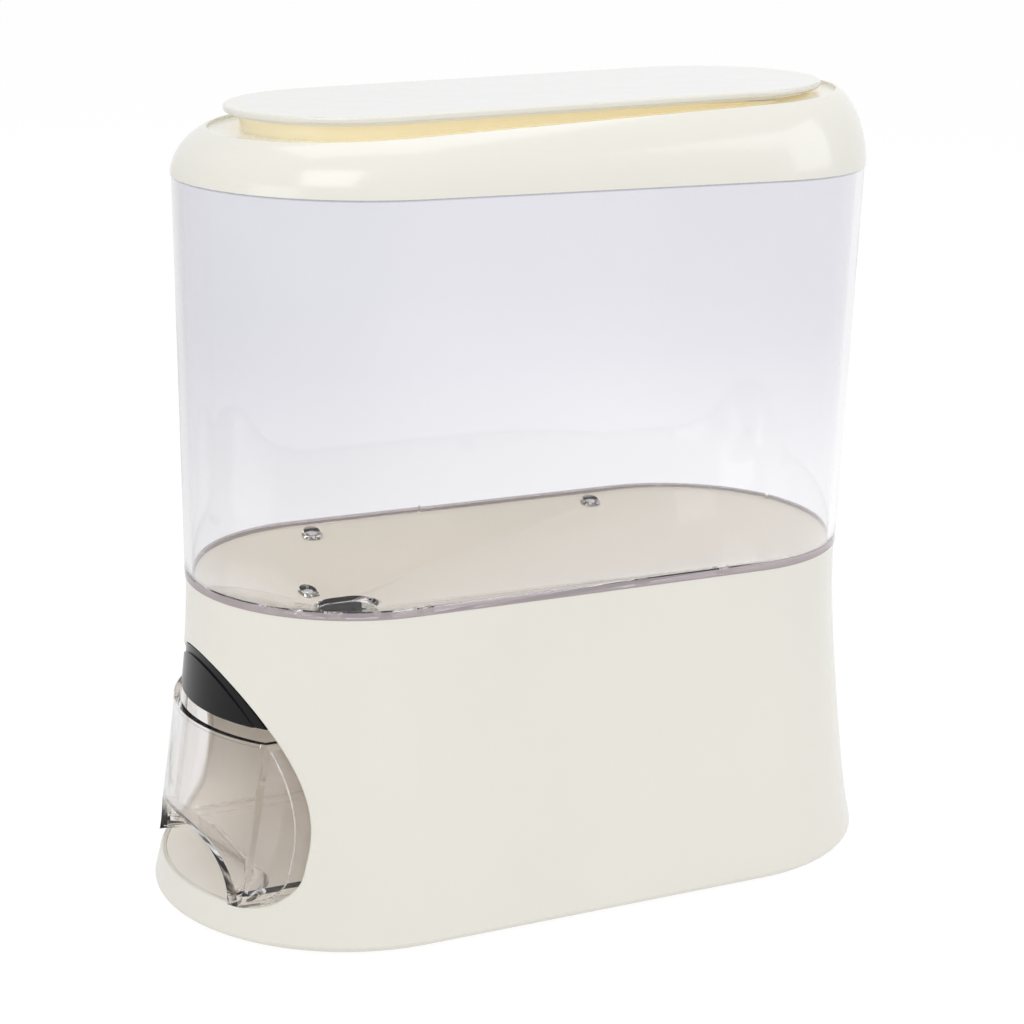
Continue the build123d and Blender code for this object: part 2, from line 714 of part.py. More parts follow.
with BuildPart() as push_key:
    add(key_form(0, key_bottom, key_back))
    add(key_form(key_wall, key_bottom + key_wall, key_back + key_wall), mode=Mode.SUBTRACT)
    add(spring_bosses.part)
    with BuildSketch(Plane.XY.offset(block_bottom)):
        with Locations(((block_front + block_back) / 2, 0)):
            Rectangle(block_back - block_front, 2 * block_half_width)
    extrude(amount=gate_bottom - block_bottom)
    add(border_step.part, mode=Mode.SUBTRACT)
    add(pins(key_screw_spots, hole_radius, gate_bottom - screw_grip - hole_end, gate_top), mode=Mode.SUBTRACT)
push_key.part.label = "push_key"
export_step(push_key.part, "parts/push_key.step")

# ---- gate slide: plate with the dosing window, pushed by the key ----
with BuildPart() as gate_slide:
    with BuildSketch(Plane.XY.offset(gate_bottom)):
        with Locations(((gate_front + gate_back) / 2, 0)):
            RectangleRounded(gate_back - gate_front, 2 * gate_half_width, gate_corner)
        with Locations((window_rest_x, 0)):
            Rectangle(gate_window, 2 * window_half_width, mode=Mode.SUBTRACT)
        with Locations(key_screw_spots):
            Circle(hole_radius, mode=Mode.SUBTRACT)
    extrude(amount=gate_wall)
gate_slide.part.label = "gate_slide"
export_step(gate_slide.part, "parts/gate_slide.step")

# ---- gate housing: flat sleeve round the gate, throat ring above, spring plate in front ----
housing_middle = (housing_front + housing_back) / 2
housing_length = housing_back - housing_front

with BuildPart() as gate_housing:
    with BuildSketch(Plane.XY.offset(housing_bottom)):
        with Locations((housing_middle, 0)):
            Rectangle(housing_length, 2 * housing_half_width)
    extrude(amount=housing_top - housing_bottom)
    with BuildSketch(Plane.XY.offset(gate_bottom - slide_gap)):
        with Locations((housing_middle, 0)):
            Rectangle(housing_length, 2 * (gate_half_width + slide_gap))
    extrude(amount=gate_wall + 2 * slide_gap, mode=Mode.SUBTRACT)
    with BuildSketch(Plane.XY.offset(housing_bottom)):
        with Locations((outlet_x, 0)):
            Rectangle(gate_window, 2 * window_half_width)
    extrude(amount=housing_top - housing_bottom, mode=Mode.SUBTRACT)
    chamfer(gate_housing.faces().sort_by(Axis.Z)[-1].inner_wires()[0].edges(), window_chamfer)
    with BuildSketch(Plane.XY.offset(housing_top)):
        with Locations((outlet_x, 0)):
            SlotCenterToCenter(2 * outlet_half_run, 2 * (throat_radius - seat_gap))
            SlotCenterToCenter(2 * outlet_half_run, 2 * outlet_radius, mode=Mode.SUBTRACT)
        with Locations((throat_back - seat_gap + far / 2, 0)):
            Rectangle(far, far, mode=Mode.SUBTRACT)
    extrude(amount=outlet_bottom - seat_gap - housing_top)
    with BuildSketch(Plane.XY.offset(spring_seat_low)):
        with Locations((housing_front + housing_wall / 2, 0)):
            Rectangle(housing_wall, 2 * housing_half_width)
    extrude(amount=housing_bottom - spring_seat_low)
    with BuildSketch(Plane.YZ.offset(housing_front)):
        with Locations((spring_y, spring_z), (-spring_y, spring_z)):
            Circle(spring_peg_radius)
    extrude(amount=-spring_peg_length)
    add(pins(gate_screw_spots, hole_radius, chute_top, deck_rim), mode=Mode.SUBTRACT)
gate_housing.part.label = "gate_housing"
export_step(gate_housing.part, "parts/gate_housing.step")

# ---- chute below the gate: flange under the housing and a slightly narrowing spout ----
def spout(extra):
    """Solid of the chute's bore, grown by extra."""
    with BuildPart() as body:
        with BuildSketch(Plane.XY.offset(housing_bottom)):
            with Locations((outlet_x, 0)):
                RectangleRounded(
                    2 * (chute_half_length + extra),
                    2 * (chute_half_width + extra),
                    chute_corner + extra,
                )
        with BuildSketch(Plane.XY.offset(chute_mouth)):
            with Locations((outlet_x, 0)):
                RectangleRounded(
                    2 * (chute_half_length + extra - chute_narrowing),
                    2 * (chute_half_width + extra - chute_narrowing),
                    chute_corner + extra - chute_narrowing,
                )
        loft(ruled=True)
    return body.part


with BuildPart() as outlet_chute:
    flange_front = housing_front + housing_wall + seat_gap
    with BuildSketch(Plane.XY.offset(chute_top)):
        with Locations(((flange_front + housing_back) / 2, 0)):
            Rectangle(housing_back - flange_front, 2 * housing_half_width)
    extrude(amount=chute_flange)
    add(spout(chute_wall))
    add(spout(0), mode=Mode.SUBTRACT)
    add(pins(gate_screw_spots, hole_radius, chute_mouth, housing_bottom), mode=Mode.SUBTRACT)
outlet_chute.part.label = "outlet_chute"
export_step(outlet_chute.part, "parts/outlet_chute.step")

# ---- return springs between the key's bosses and the housing's spring plate ----
for spring_name, y in (("return_spring_left", spring_y), ("return_spring_right", -spring_y)):
    with BuildPart() as spring:
        with BuildSketch(Plane.YZ.offset(spring_boss_end)):
            with Locations((y, spring_z)):
                Circle(spring_coil_radius + spring_wire / 2)
                Circle(spring_coil_radius - spring_wire / 2, mode=Mode.SUBTRACT)
        extrude(amount=housing_front - spring_boss_end)
    spring.part.label = spring_name
    export_step(spring.part, f"parts/{spring_name}.step")

# ---- screws ----
tank_seats = [(x, y, h - recess_depth) for (x, y), h in zip(tank_screw_spots, floor_heights)]

with BuildPart() as tank_screws:
    add(screws(tank_seats, tank_screw_length))
tank_screws.part.label = "tank_screws"
export_step(tank_screws.part, "parts/tank_screws.step")

with BuildPart() as gate_screws:
    add(screws([(x, y, chute_top) for x, y in gate_screw_spots], gate_screw_length, side=-1))
gate_screws.part.label = "gate_screws"
export_step(gate_screws.part, "parts/gate_screws.step")

with BuildPart() as key_screws:
    add(screws([(x, y, gate_top) for x, y in key_screw_spots], gate_wall + screw_grip))
key_screws.part.label = "key_screws"
export_step(key_screws.part, "parts/key_screws.step")

with BuildPart() as bay_screws:
    add(screws([(x, y, low_seat) for x, y in bay_legs], low_screw_length, side=-1))
bay_screws.part.label = "bay_screws"
export_step(bay_screws.part, "parts/bay_screws.step")

with BuildPart() as base_plate_screws:
    add(screws([(x, y, low_seat) for x, y in plate_screw_spots], low_screw_length, side=-1))
base_plate_screws.part.label = "base_plate_screws"
export_step(base_plate_screws.part, "parts/base_plate_screws.step")
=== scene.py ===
import bmesh
import bpy
from math import cos, pi, radians, sin
from mathutils import Matrix, Vector


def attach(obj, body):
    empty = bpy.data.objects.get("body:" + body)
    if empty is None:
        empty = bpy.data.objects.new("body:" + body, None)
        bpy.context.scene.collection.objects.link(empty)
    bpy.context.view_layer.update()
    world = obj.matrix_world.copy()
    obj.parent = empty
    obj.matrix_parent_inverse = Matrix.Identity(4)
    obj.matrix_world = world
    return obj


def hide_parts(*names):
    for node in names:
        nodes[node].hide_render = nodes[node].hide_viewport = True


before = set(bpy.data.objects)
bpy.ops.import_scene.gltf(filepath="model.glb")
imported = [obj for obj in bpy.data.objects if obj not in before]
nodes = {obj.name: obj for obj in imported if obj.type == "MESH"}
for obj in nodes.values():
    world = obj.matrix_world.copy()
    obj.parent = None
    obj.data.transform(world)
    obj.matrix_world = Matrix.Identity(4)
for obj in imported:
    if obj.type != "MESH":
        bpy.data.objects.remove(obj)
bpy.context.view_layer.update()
scene = bpy.context.scene
MM = 0.001
HALF_RUN = 90 * MM  # half of the straight run of the tank's and the lid's obrounds


# ---- colours, written as they look on a screen ----
def screen(red, green, blue):
    """Screen values from 0 to 255 as the linear colour that a shader takes."""
    channels = []
    for value in (red, green, blue):
        share = value / 255
        channels.append(share / 12.92 if share <= 0.04045 else ((share + 0.055) / 1.055) ** 2.4)
    return (*channels, 1.0)


# ---- camera and light ----
CAMERA_PLACE = (-0.5190, -1.00575, 0.4931)
CAMERA_YAW = radians(27.06)
CAMERA_PITCH = radians(15.83)
CAMERA_ROLL = radians(1.33)
SENSOR_WIDTH = 36
FOCAL_LENGTH = 85.46

WHITE = (1, 1, 1, 1)
PAPER_COLOUR = (0.92, 0.92, 0.92, 1)
AMBIENT = 0.60           # strength of the air for light that spreads; it is 1 where it is seen
FLOOR_GLOW = 1.06        # brightness of the paper where it is seen
FLOOR_GLOW_SHARE = 0.86  # the rest of what is seen of the paper is shaded
MIRROR_DIM = 0.25        # what the left side of the studio loses in mirror images

# name, place, aim, width, height, power and tint
SOFTBOXES = (
    ("key_light", (-1.3, -1.5, 1.9), (0, 0, 0.2), 1.4, 1.4, 16, (1.0, 0.995, 0.985)),
    ("front_light", (-1.6, -0.5, 0.5), (-0.15, 0, 0.08), 0.9, 0.7, 2.4, (1.0, 1.0, 0.995)),
    ("fill_light", (1.8, -1.3, 1.1), (0, 0, 0.2), 1.4, 1.6, 10.5, (0.99, 0.995, 1.0)),
    ("top_light", (0.1, 0.3, 2.2), (0, 0, 0.3), 1.6, 1.2, 8, (1.0, 1.0, 1.0)),
)


def look_along(yaw, pitch, roll):
    """Turn of a camera that looks yaw right of +Y and pitch down, rolled by roll."""
    forward = Vector((sin(yaw) * cos(pitch), cos(yaw) * cos(pitch), -sin(pitch)))
    level = Vector((cos(yaw), -sin(yaw), 0))
    upright = level.cross(forward)
    right = level * cos(roll) + upright * sin(roll)
    up = right.cross(forward)
    return Matrix((right, up, -forward)).transposed()


def place_camera():
    lens = bpy.data.cameras.new("camera")
    camera = bpy.data.objects.new("camera", lens)
    scene.collection.objects.link(camera)
    turn = look_along(CAMERA_YAW, CAMERA_PITCH, CAMERA_ROLL)
    camera.matrix_world = Matrix.Translation(CAMERA_PLACE) @ turn.to_4x4()
    lens.sensor_width = SENSOR_WIDTH
    lens.lens = FOCAL_LENGTH
    lens.clip_start = 0.01
    scene.camera = camera


def softbox(name, place, aim, width, height, power, tint):
    panel = bpy.data.lights.new(name, "AREA")
    panel.shape = "RECTANGLE"
    panel.size = width
    panel.size_y = height
    panel.energy = power
    panel.color = tint
    lamp = bpy.data.objects.new(name, panel)
    scene.collection.objects.link(lamp)
    lamp.location = place
    lamp.rotation_euler = (Vector(aim) - Vector(place)).to_track_quat("-Z", "Y").to_euler()


def seen_share(tree):
    """1 where the camera, a mirror or clear plastic looks, 0 for light that only spreads."""
    rays = tree.nodes.new("ShaderNodeLightPath").outputs
    direct = sum_up(tree, "MAXIMUM", rays["Is Camera Ray"], rays["Is Transmission Ray"])
    return sum_up(tree, "MAXIMUM", direct, rays["Is Glossy Ray"])


def dim_in_mirrors(tree, along, start, end):
    """Loss of brightness that only mirror images show: the studio is darker towards the left."""
    rays = tree.nodes.new("ShaderNodeLightPath").outputs
    loss = fade(tree, along, start, end, low=MIRROR_DIM, high=0.0)
    return sum_up(tree, "MULTIPLY", rays["Is Glossy Ray"], loss)


def make_air():
    """White air round the object: full where it is seen, weaker as the light that spreads."""
    world = bpy.data.worlds.new("studio")
    scene.world = world
    world.use_nodes = True
    tree = world.node_tree
    air = tree.nodes["Background"]
    air.inputs["Color"].default_value = WHITE
    way = tree.nodes.new("ShaderNodeTexCoord")
    split = tree.nodes.new("ShaderNodeSeparateXYZ")
    tree.links.new(way.outputs["Generated"], split.inputs["Vector"])
    strength = fade(tree, seen_share(tree), 0.0, 1.0, low=AMBIENT, high=1.0)
    loss = dim_in_mirrors(tree, split.outputs["X"], -0.6, 0.6)
    tree.links.new(sum_up(tree, "SUBTRACT", strength, loss), air.inputs["Strength"])


def make_floor():
    """White paper floor: it keeps a faint shadow, and is white where it is looked at."""
    bpy.ops.object.select_all(action="DESELECT")
    bpy.ops.mesh.primitive_plane_add(size=30, location=(0, 0, 0))
    floor = bpy.context.object
    floor.name = "floor"
    paper = bpy.data.materials.new("white_paper")
    paper.use_nodes = True
    tree = paper.node_tree
    tree.nodes.clear()
    out = tree.nodes.new("ShaderNodeOutputMaterial")
    matt = tree.nodes.new("ShaderNodeBsdfDiffuse")
    matt.inputs["Color"].default_value = PAPER_COLOUR
    glow = tree.nodes.new("ShaderNodeEmission")
    glow.inputs["Color"].default_value = WHITE
    loss = dim_in_mirrors(tree, place_along(tree, "X"), -0.5, 0.5)
    tree.links.new(sum_up(tree, "SUBTRACT", FLOOR_GLOW, loss), glow.inputs["Strength"])
    mix = tree.nodes.new("ShaderNodeMixShader")
    tree.links.new(sum_up(tree, "MULTIPLY", seen_share(tree), FLOOR_GLOW_SHARE), mix.inputs["Fac"])
    tree.links.new(matt.outputs["BSDF"], mix.inputs[1])
    tree.links.new(glow.outputs["Emission"], mix.inputs[2])
    tree.links.new(mix.outputs["Shader"], out.inputs["Surface"])
    floor.data.materials.append(paper)


def make_studio():
    make_air()
    make_floor()
    for setting in SOFTBOXES:
        softbox(*setting)
    scene.cycles.max_bounces = 24
    scene.cycles.transmission_bounces = 20
    scene.cycles.transparent_max_bounces = 20
    scene.cycles.glossy_bounces = 8


# ---- parts of a material ----
def new_finish(name):
    finish = bpy.data.materials.new(name)
    finish.use_nodes = True
    return finish, finish.node_tree, finish.node_tree.nodes["Principled BSDF"]


def object_place(tree):
    place = tree.nodes.new("ShaderNodeTexCoord")
    return place.outputs["Object"]


def place_along(tree, axis):
    """Object coordinate along one axis, in metres."""
    split = tree.nodes.new("ShaderNodeSeparateXYZ")
    tree.links.new(object_place(tree), split.inputs["Vector"])
    return split.outputs[axis]


def sum_up(tree, operation, first, second=0.0):
    """One step of arithmetic; each value is a number or comes from another node."""
    step = tree.nodes.new("ShaderNodeMath")
    step.operation = operation
    for socket, value in zip(step.inputs, (first, second)):
        if isinstance(value, (int, float)):
            socket.default_value = value
        else:
            tree.links.new(value, socket)
    return step.outputs[0]


def fade(tree, value, start, end, low=0.0, high=1.0):
    """Run from low at start to high at end, and stay level outside them."""
    span = tree.nodes.new("ShaderNodeMapRange")
    span.inputs["From Min"].default_value = start
    span.inputs["From Max"].default_value = end
    span.inputs["To Min"].default_value = low
    span.inputs["To Max"].default_value = high
    tree.links.new(value, span.inputs["Value"])
    return span.outputs["Result"]


def noise(tree, scale, detail):
    grain = tree.nodes.new("ShaderNodeTexNoise")
    grain.inputs["Scale"].default_value = scale
    grain.inputs["Detail"].default_value = detail
    tree.links.new(object_place(tree), grain.inputs["Vector"])
    return grain.outputs["Fac"]


def spread(tree, value, low, high):
    """Map a noise value, most of which lies between 0.3 and 0.7, to a small range."""
    return fade(tree, value, 0.3, 0.7, low, high)


def tone(tree, value, dark, light):
    """Colour between two others; each is a colour or comes from another node."""
    ramp = tree.nodes.new("ShaderNodeMix")
    ramp.data_type = "RGBA"
    for name, colour in (("A", dark), ("B", light)):
        socket = next(s for s in ramp.inputs if s.name == name and s.type == "RGBA")
        if isinstance(colour, tuple):
            socket.default_value = colour
        else:
            tree.links.new(colour, socket)
    tree.links.new(value, ramp.inputs["Factor"])
    return next(s for s in ramp.outputs if s.type == "RGBA")


def ripple(tree, value, strength, distance):
    bump = tree.nodes.new("ShaderNodeBump")
    bump.inputs["Strength"].default_value = strength
    bump.inputs["Distance"].default_value = distance
    tree.links.new(value, bump.inputs["Height"])
    return bump.outputs["Normal"]


def obround_radius(tree):
    """Distance from the middle line of the tank's and the lid's obrounds."""
    past_end = sum_up(tree, "SUBTRACT", sum_up(tree, "ABSOLUTE", place_along(tree, "X")), HALF_RUN)
    past_end = sum_up(tree, "MAXIMUM", past_end, 0.0)
    across = place_along(tree, "Y")
    squares = sum_up(
        tree,
        "ADD",
        sum_up(tree, "MULTIPLY", past_end, past_end),
        sum_up(tree, "MULTIPLY", across, across),
    )
    return sum_up(tree, "SQRT", squares)


# ---- materials ----
def moulded_gloss(name, dark, light, rough_low, rough_high, coat=0.25, level=0.5, wave=0.10):
    """Polished moulded plastic: faint cloudiness, slow flow waviness and a soft clear skin."""
    finish, tree, skin = new_finish(name)
    clouds = spread(tree, noise(tree, scale=9.0, detail=4.0), 0.0, 1.0)
    rough = spread(tree, noise(tree, scale=60.0, detail=5.0), rough_low, rough_high)
    flow = ripple(tree, noise(tree, scale=16.0, detail=1.0), wave, distance=0.6 * MM)
    tree.links.new(tone(tree, clouds, dark, light), skin.inputs["Base Color"])
    tree.links.new(rough, skin.inputs["Roughness"])
    tree.links.new(flow, skin.inputs["Normal"])
    skin.inputs["IOR"].default_value = 1.5
    skin.inputs["Specular IOR Level"].default_value = level
    skin.inputs["Coat Weight"].default_value = coat
    skin.inputs["Coat Roughness"].default_value = 0.06
    return finish


def let_light_through(finish, tint, share=1.0):
    """Let a share of the light pass each surface, tinted: all in clear plastic, less in ivory."""
    tree = finish.node_tree
    through = tree.nodes.new("ShaderNodeBsdfTransparent")
    through.inputs["Color"].default_value = tint
    rays = tree.nodes.new("ShaderNodeLightPath").outputs
    passing = sum_up(tree, "MULTIPLY", rays["Is Shadow Ray"], share)
    mix = tree.nodes.new("ShaderNodeMixShader")
    tree.links.new(passing, mix.inputs["Fac"])
    tree.links.new(tree.nodes["Principled BSDF"].outputs["BSDF"], mix.inputs[1])
    tree.links.new(through.outputs["BSDF"], mix.inputs[2])
    tree.links.new(mix.outputs["Shader"], tree.nodes["Material Output"].inputs["Surface"])
    return finish


def clear_skin(tree, skin, wave, rough_low, rough_high):
    """Surface of a clear moulding, with the slow waves that its flow leaves."""
    rough = spread(tree, noise(tree, scale=30.0, detail=3.0), rough_low, rough_high)
    flow = ripple(tree, noise(tree, scale=14.0, detail=1.5), wave, distance=0.8 * MM)
    skin.inputs["IOR"].default_value = 1.45
    tree.links.new(rough, skin.inputs["Roughness"])
    tree.links.new(flow, skin.inputs["Normal"])


def clear_cup_plastic():
    finish, tree, skin = new_finish("cup_clear")
    clouds = noise(tree, scale=12.0, detail=3.0)
    tint = tone(tree, clouds, (0.985, 0.975, 0.97, 1), (0.995, 0.985, 0.985, 1))
    tree.links.new(tint, skin.inputs["Base Color"])
    skin.inputs["Transmission Weight"].default_value = 1.0
    clear_skin(tree, skin, 0.06, 0.04, 0.07)
    return let_light_through(finish, (0.995, 0.992, 0.99, 1))


def clear_tank_plastic():
    """Smoke-tinted wall with painted light and shade, painted warm light on the floor, painted
    shade on the flange band and a painted shadow line under the lid.
    """
    # The wall's tint runs between a shaded and a lit copy, which carry painted light and shade.
    wall_shaded_tint, wall_lit_tint = (0.765, 0.765, 0.81, 1), (0.96, 0.96, 0.975, 1)
    warm_light_floor_tint = (0.99, 0.952, 0.908, 1)
    lid_shadow_tint = (0.52, 0.51, 0.54, 1)
    flange_shade_tint = (0.52, 0.455, 0.475, 1)
    finish, tree, skin = new_finish("tank_clear")
    height = place_along(tree, "Z")
    along = place_along(tree, "X")

    # The flange band is painted dull and dark: painted shade for what shows through its thick edge.
    at_wall = fade(tree, obround_radius(tree), 73.2 * MM, 73.7 * MM)
    below_rim = fade(tree, height, 157.4 * MM, 157.7 * MM, low=1.0, high=0.0)
    band = sum_up(tree, "MULTIPLY", at_wall, below_rim)
    # The floor's warm tint is painted warm light, which comes through the ivory lid.
    floor = sum_up(tree, "SUBTRACT", below_rim, band)
    # Painted shadow: a dark line on the wall just under the lid's edge.
    lid_shadow_low = fade(tree, height, 338.8 * MM, 339.2 * MM)
    lid_shadow_high = fade(tree, height, 340.2 * MM, 340.4 * MM, low=1.0, high=0.0)
    lid_shadow_line = sum_up(tree, "MULTIPLY", lid_shadow_low, lid_shadow_high)

    # The wall's tint has painted light near the floor and painted shade towards both ends, and is
    # slightly cloudy.
    thin = fade(tree, height, 175 * MM, 265 * MM, low=1.0, high=0.0)
    painted_shade_front = fade(tree, along, -130 * MM, -75 * MM, low=0.2, high=0.0)
    painted_shade_back = fade(tree, along, 100 * MM, 150 * MM, low=0.0, high=0.1)
    painted_end_shade = sum_up(tree, "ADD", painted_shade_front, painted_shade_back)
    clouds = sum_up(tree, "MULTIPLY", noise(tree, scale=7.0, detail=3.0), 0.25)
    painted_light_and_clouds = sum_up(tree, "ADD", sum_up(tree, "SUBTRACT", thin, painted_end_shade), clouds)

    tint = tone(tree, fade(tree, painted_light_and_clouds, -1.0, 1.0), wall_shaded_tint, wall_lit_tint)
    tint = tone(tree, floor, tint, warm_light_floor_tint)
    tint = tone(tree, lid_shadow_line, tint, lid_shadow_tint)
    tint = tone(tree, band, tint, flange_shade_tint)
    tree.links.new(tint, skin.inputs["Base Color"])
    clarity = fade(tree, band, 0.0, 1.0, low=1.0, high=0.35)
    tree.links.new(clarity, skin.inputs["Transmission Weight"])
    clear_skin(tree, skin, 0.10, 0.01, 0.03)
    return let_light_through(finish, (0.995, 0.993, 0.993, 1))


def recolour(finish, zone, colour):
    """Give the finish another colour in one zone: zone is 1 inside it and 0 outside."""
    tree = finish.node_tree
    skin = tree.nodes["Principled BSDF"]
    plain = skin.inputs["Base Color"].links[0].from_socket
    tree.links.new(tone(tree, zone, plain, colour), skin.inputs["Base Color"])
    return finish


def paint_groove_light(finish):
    """Painted warm light on the ring under the top plate, for the light that bounces between its
    ivory walls.
    """
    tree = finish.node_tree
    inside = fade(tree, obround_radius(tree), 53 * MM, 59 * MM, low=1.0, high=0.0)
    above = fade(tree, place_along(tree, "Z"), 359 * MM, 361 * MM)
    return recolour(finish, sum_up(tree, "MULTIPLY", inside, above), screen(254, 244, 212))


def creamy_rim(finish):
    """The thin rim of the top plate is creamier than its middle."""
    tree = finish.node_tree
    at_rim = fade(tree, obround_radius(tree), 48 * MM, 54 * MM)
    return recolour(finish, at_rim, screen(232, 230, 221))


def satin(name, dark, light, rough, grain_scale=220.0):
    """Fine-grained moulded plastic or rubber."""
    finish, tree, skin = new_finish(name)
    clouds = noise(tree, scale=24.0, detail=5.0)
    patches = spread(tree, noise(tree, scale=90.0, detail=4.0), rough - 0.05, rough + 0.05)
    grain = ripple(tree, noise(tree, grain_scale, detail=2.0), 0.35, distance=0.08 * MM)
    tree.links.new(tone(tree, clouds, dark, light), skin.inputs["Base Color"])
    tree.links.new(patches, skin.inputs["Roughness"])
    tree.links.new(grain, skin.inputs["Normal"])
    return finish


def metal(name, dark, light, rough):
    finish, tree, skin = new_finish(name)
    clouds = noise(tree, scale=180.0, detail=4.0)
    patches = spread(tree, noise(tree, scale=400.0, detail=3.0), rough - 0.06, rough + 0.08)
    skin.inputs["Metallic"].default_value = 1.0
    tree.links.new(tone(tree, clouds, dark, light), skin.inputs["Base Color"])
    tree.links.new(patches, skin.inputs["Roughness"])
    return finish


def coil_wire(pitch):
    """Steel wire whose turns show as bright crowns with painted shade in the gaps between them, one
    each pitch along X.
    """
    painted_gap_shade, bright = (0.03, 0.03, 0.03, 1), (0.60, 0.60, 0.61, 1)
    finish, tree, skin = new_finish("coil_steel")
    turn = sum_up(tree, "MULTIPLY", place_along(tree, "X"), 2 * pi / pitch)
    crown = fade(tree, sum_up(tree, "SINE", turn), -0.6, 0.4)
    skin.inputs["Metallic"].default_value = 1.0
    tree.links.new(tone(tree, crown, painted_gap_shade, bright), skin.inputs["Base Color"])
    rough = fade(tree, crown, 0.0, 1.0, low=0.6, high=0.28)
    tree.links.new(rough, skin.inputs["Roughness"])
    tree.links.new(ripple(tree, crown, 0.8, distance=0.6 * MM), skin.inputs["Normal"])
    return finish


cream = moulded_gloss("cream_gloss", screen(231, 229, 220), screen(235, 232, 223), 0.20, 0.27)
let_light_through(cream, (1.0, 0.96, 0.91, 1), share=0.80)

lid_cream = moulded_gloss(
    "lid_cream_gloss", screen(231, 229, 220), screen(234, 232, 223), 0.15, 0.22
)
# The groove under the top plate gets painted warm light.
let_light_through(paint_groove_light(lid_cream), (1.0, 0.96, 0.90, 1), share=0.60)

plate_white = moulded_gloss(
    "plate_white_gloss", screen(227, 227, 227), screen(230, 230, 229), 0.12, 0.18, wave=0.01
)
let_light_through(creamy_rim(plate_white), (1.0, 0.95, 0.84, 1), share=0.95)

tank_clear = clear_tank_plastic()
cup_clear = clear_cup_plastic()
black = moulded_gloss(
    "key_black_gloss", screen(18, 18, 20), screen(22, 22, 25), 0.18, 0.24, coat=0.0, level=0.22
)
dark_inner = satin("gate_dark_grey", screen(58, 57, 58), screen(64, 63, 64), 0.42)

# The bay's cream is painted lighter than the casing's: painted light for its dim inside.
bay_lit_cream = satin("bay_cream_satin", screen(250, 245, 236), screen(253, 249, 241), 0.36)
let_light_through(bay_lit_cream, (1.0, 0.98, 0.96, 1), share=0.97)

seal_soft = satin("seal_silicone", screen(222, 220, 216), screen(230, 228, 224), 0.5)
foot_grey = satin(
    "foot_rubber", screen(96, 95, 94), screen(108, 107, 105), 0.75, grain_scale=500.0
)
zinc = metal("zinc_plate", (0.62, 0.62, 0.63, 1), (0.75, 0.75, 0.76, 1), 0.30)
coil_steel = coil_wire(pitch=2.5 * MM)

node_finish = {
    "base_shell": cream,
    "base_plate": cream,
    "drawer_bay": bay_lit_cream,
    "drawer_cup": cup_clear,
    "hopper_tank": tank_clear,
    "lid_shell": lid_cream,
    "lid_top_plate": plate_white,
    "lid_seal": seal_soft,
    "push_key": black,
    "gate_slide": dark_inner,
    "gate_housing": dark_inner,
    "outlet_chute": dark_inner,
    "foot_front_left": foot_grey,
    "foot_front_right": foot_grey,
    "foot_back_left": foot_grey,
    "foot_back_right": foot_grey,
    "return_spring_left": coil_steel,
    "return_spring_right": coil_steel,
    "tank_screws": zinc,
    "gate_screws": zinc,
    "key_screws": zinc,
    "bay_screws": zinc,
    "base_plate_screws": zinc,
}


# ---- screws: one is modelled for each node, and copied to its seats ----
HEAD_RADIUS = 2.6 * MM
HEAD_HEIGHT = 1.5 * MM
HEAD_ROUNDING = 0.8 * MM
THREAD_RADIUS = 1.45 * MM
TIP_HEIGHT = 1.2 * MM
TIP_NARROWING = 0.35     # width of the tip's end as a share of the thread's
ARM_LENGTH = 3.0 * MM    # of the cross recess in the head
ARM_WIDTH = 0.62 * MM
ARM_DEPTH = 0.9 * MM
ARM_NARROWING = 0.55     # width of the recess's ground as a share of its mouth's
FIRST_TURN = 12          # degrees: the recesses stand at different angles
NEXT_TURN = 37


def faces_up(face):
    return face.normal.z > 0.9


def faces_down(face):
    return face.normal.z < -0.9


def pick_faces(piece, wanted):
    """In edit mode, select only the faces for which wanted(face) holds."""
    edit = bmesh.from_edit_mesh(piece.data)
    for face in edit.faces:
        face.select_set(wanted(face))
    edit.select_flush_mode()
    bmesh.update_edit_mesh(piece.data)


def cut_arm(screw, along_x, along_y):
    """Cut one arm of the cross recess, narrower at its ground, into the head."""
    bpy.ops.object.select_all(action="DESELECT")
    bpy.ops.mesh.primitive_cube_add(size=1, location=(0, 0, HEAD_HEIGHT))
    cutter = bpy.context.object
    cutter.scale = (along_x, along_y, 2 * ARM_DEPTH)
    bpy.ops.object.transform_apply(location=True, rotation=True, scale=True)
    bpy.ops.object.mode_set(mode="EDIT")
    bpy.ops.mesh.select_mode(type="FACE")
    pick_faces(cutter, faces_down)
    bpy.ops.transform.resize(
        value=(ARM_NARROWING, ARM_NARROWING, 1), center_override=(0, 0, HEAD_HEIGHT - ARM_DEPTH)
    )
    bpy.ops.object.mode_set(mode="OBJECT")
    bpy.ops.object.select_all(action="DESELECT")
    screw.select_set(True)
    bpy.context.view_layer.objects.active = screw
    recess = screw.modifiers.new("recess", "BOOLEAN")
    recess.operation = "DIFFERENCE"
    recess.solver = "EXACT"
    recess.object = cutter
    bpy.ops.object.modifier_apply(modifier="recess")
    bpy.data.objects.remove(cutter)


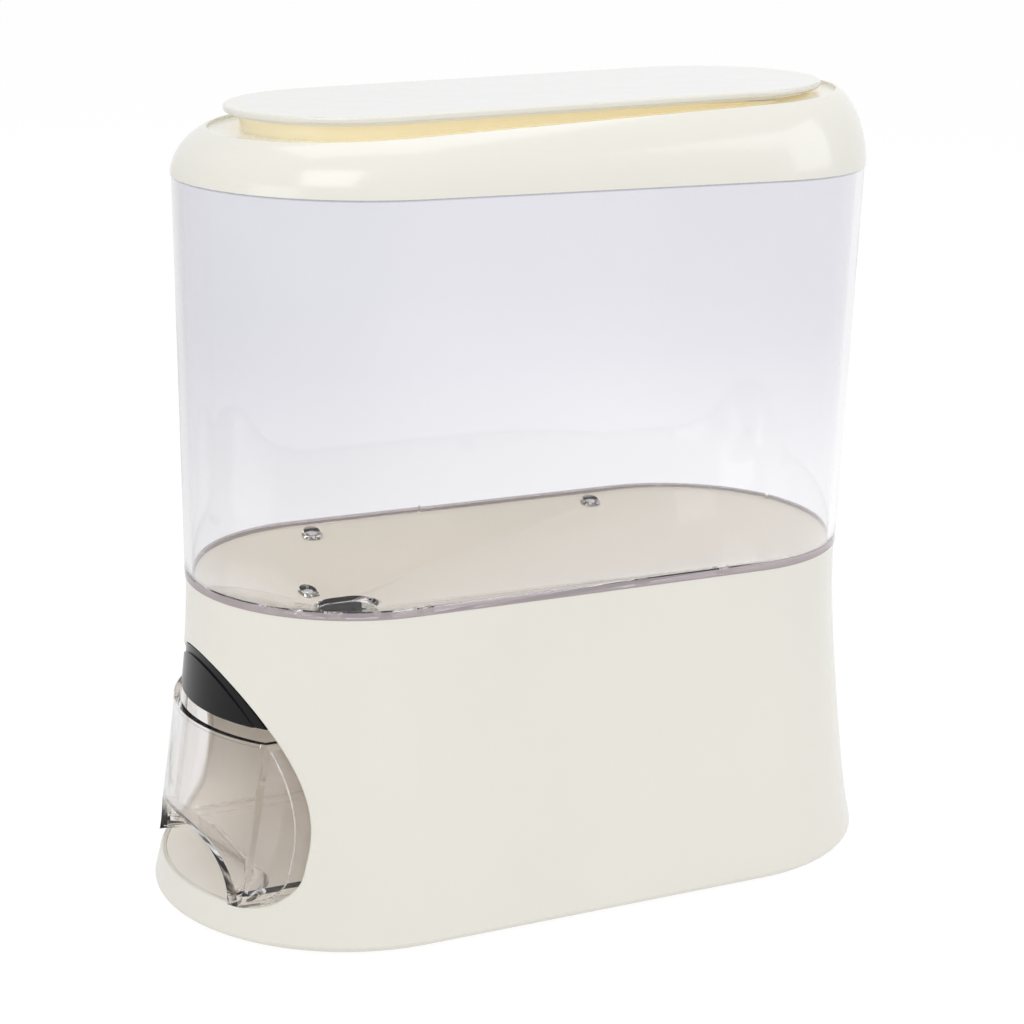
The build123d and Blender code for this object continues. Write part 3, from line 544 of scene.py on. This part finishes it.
def model_screw(length):
    """Pan-head screw with a cross recess, its seat at the origin and its head up."""
    bpy.ops.object.select_all(action="DESELECT")
    bpy.ops.mesh.primitive_cylinder_add(
        vertices=40, radius=HEAD_RADIUS, depth=HEAD_HEIGHT, location=(0, 0, HEAD_HEIGHT / 2)
    )
    bpy.ops.object.transform_apply(location=True, rotation=True, scale=True)
    screw = bpy.context.object
    bpy.ops.object.mode_set(mode="EDIT")
    bpy.ops.mesh.select_mode(type="FACE")
    pick_faces(screw, faces_down)
    bpy.ops.mesh.inset(thickness=HEAD_RADIUS - THREAD_RADIUS)
    bpy.ops.mesh.extrude_region_move(TRANSFORM_OT_translate={"value": (0, 0, TIP_HEIGHT - length)})
    bpy.ops.mesh.extrude_region_move(TRANSFORM_OT_translate={"value": (0, 0, -TIP_HEIGHT)})
    bpy.ops.transform.resize(
        value=(TIP_NARROWING, TIP_NARROWING, 1), center_override=(0, 0, -length)
    )
    pick_faces(screw, faces_up)
    bpy.ops.mesh.bevel(offset=HEAD_ROUNDING, segments=5, affect="EDGES")
    bpy.ops.object.mode_set(mode="OBJECT")
    cut_arm(screw, ARM_LENGTH, ARM_WIDTH)
    cut_arm(screw, ARM_WIDTH, ARM_LENGTH)
    bpy.ops.object.select_all(action="DESELECT")
    screw.select_set(True)
    bpy.context.view_layer.objects.active = screw
    bpy.ops.object.shade_smooth_by_angle(angle=radians(32))
    return screw


def seat_screws(node_name, body, length, seats, head_up=True):
    """Copy the screw to all seats of a node, in mm, as one piece that stands for the node."""
    pattern = model_screw(length * MM)
    copies = []
    for count, (x, y, z) in enumerate(seats):
        copy = bpy.data.objects.new(f"{node_name}_{count}", pattern.data.copy())
        scene.collection.objects.link(copy)
        turn = Matrix.Rotation(radians(NEXT_TURN * count + FIRST_TURN), 4, "Z")
        if not head_up:
            turn = Matrix.Rotation(pi, 4, "X") @ turn
        copy.data.transform(Matrix.Translation((x * MM, y * MM, z * MM)) @ turn)
        copies.append(copy)
    bpy.data.objects.remove(pattern)
    bpy.ops.object.select_all(action="DESELECT")
    for copy in copies:
        copy.select_set(True)
    bpy.context.view_layer.objects.active = copies[0]
    bpy.ops.object.join()
    piece = bpy.context.object
    piece.name = f"{node_name}_pan_heads"
    piece.data.materials.clear()
    piece.data.materials.append(zinc)
    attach(piece, body)
    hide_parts(node_name)


def both_sides(*spots):
    return [(x, side * y, z) for x, y, z in spots for side in (1, -1)]


def make_screws():
    """Seats are the middle of each head's underside; in the tank they follow the sloping floor."""
    tank_seats = both_sides((-83, 65, 152.752), (73, 65, 152.853), (-103.6, 18.7, 138.671))
    seat_screws("tank_screws", "casing", 6.5, tank_seats)
    seat_screws("key_screws", "key", 7.6, both_sides((-153, 10, 128.4)))
    gate_seats = both_sides((-116, 27.4, 121), (-64, 27.4, 121))
    seat_screws("gate_screws", "casing", 15.2, gate_seats, head_up=False)
    recess_top = 3.3
    bay_seats = both_sides((-140, 40, recess_top), (-72, 48, recess_top))
    seat_screws("bay_screws", "casing", 6.2, bay_seats, head_up=False)
    plate_seats = both_sides((-30, 82, recess_top), (60, 82, recess_top)) + [(172, 0, recess_top)]
    seat_screws("base_plate_screws", "casing", 6.2, plate_seats, head_up=False)


for node_name, finish in node_finish.items():
    for cad_slot in nodes[node_name].material_slots:
        cad_slot.material = finish

place_camera()
make_studio()
make_screws()
scene.view_settings.view_transform = "Standard"
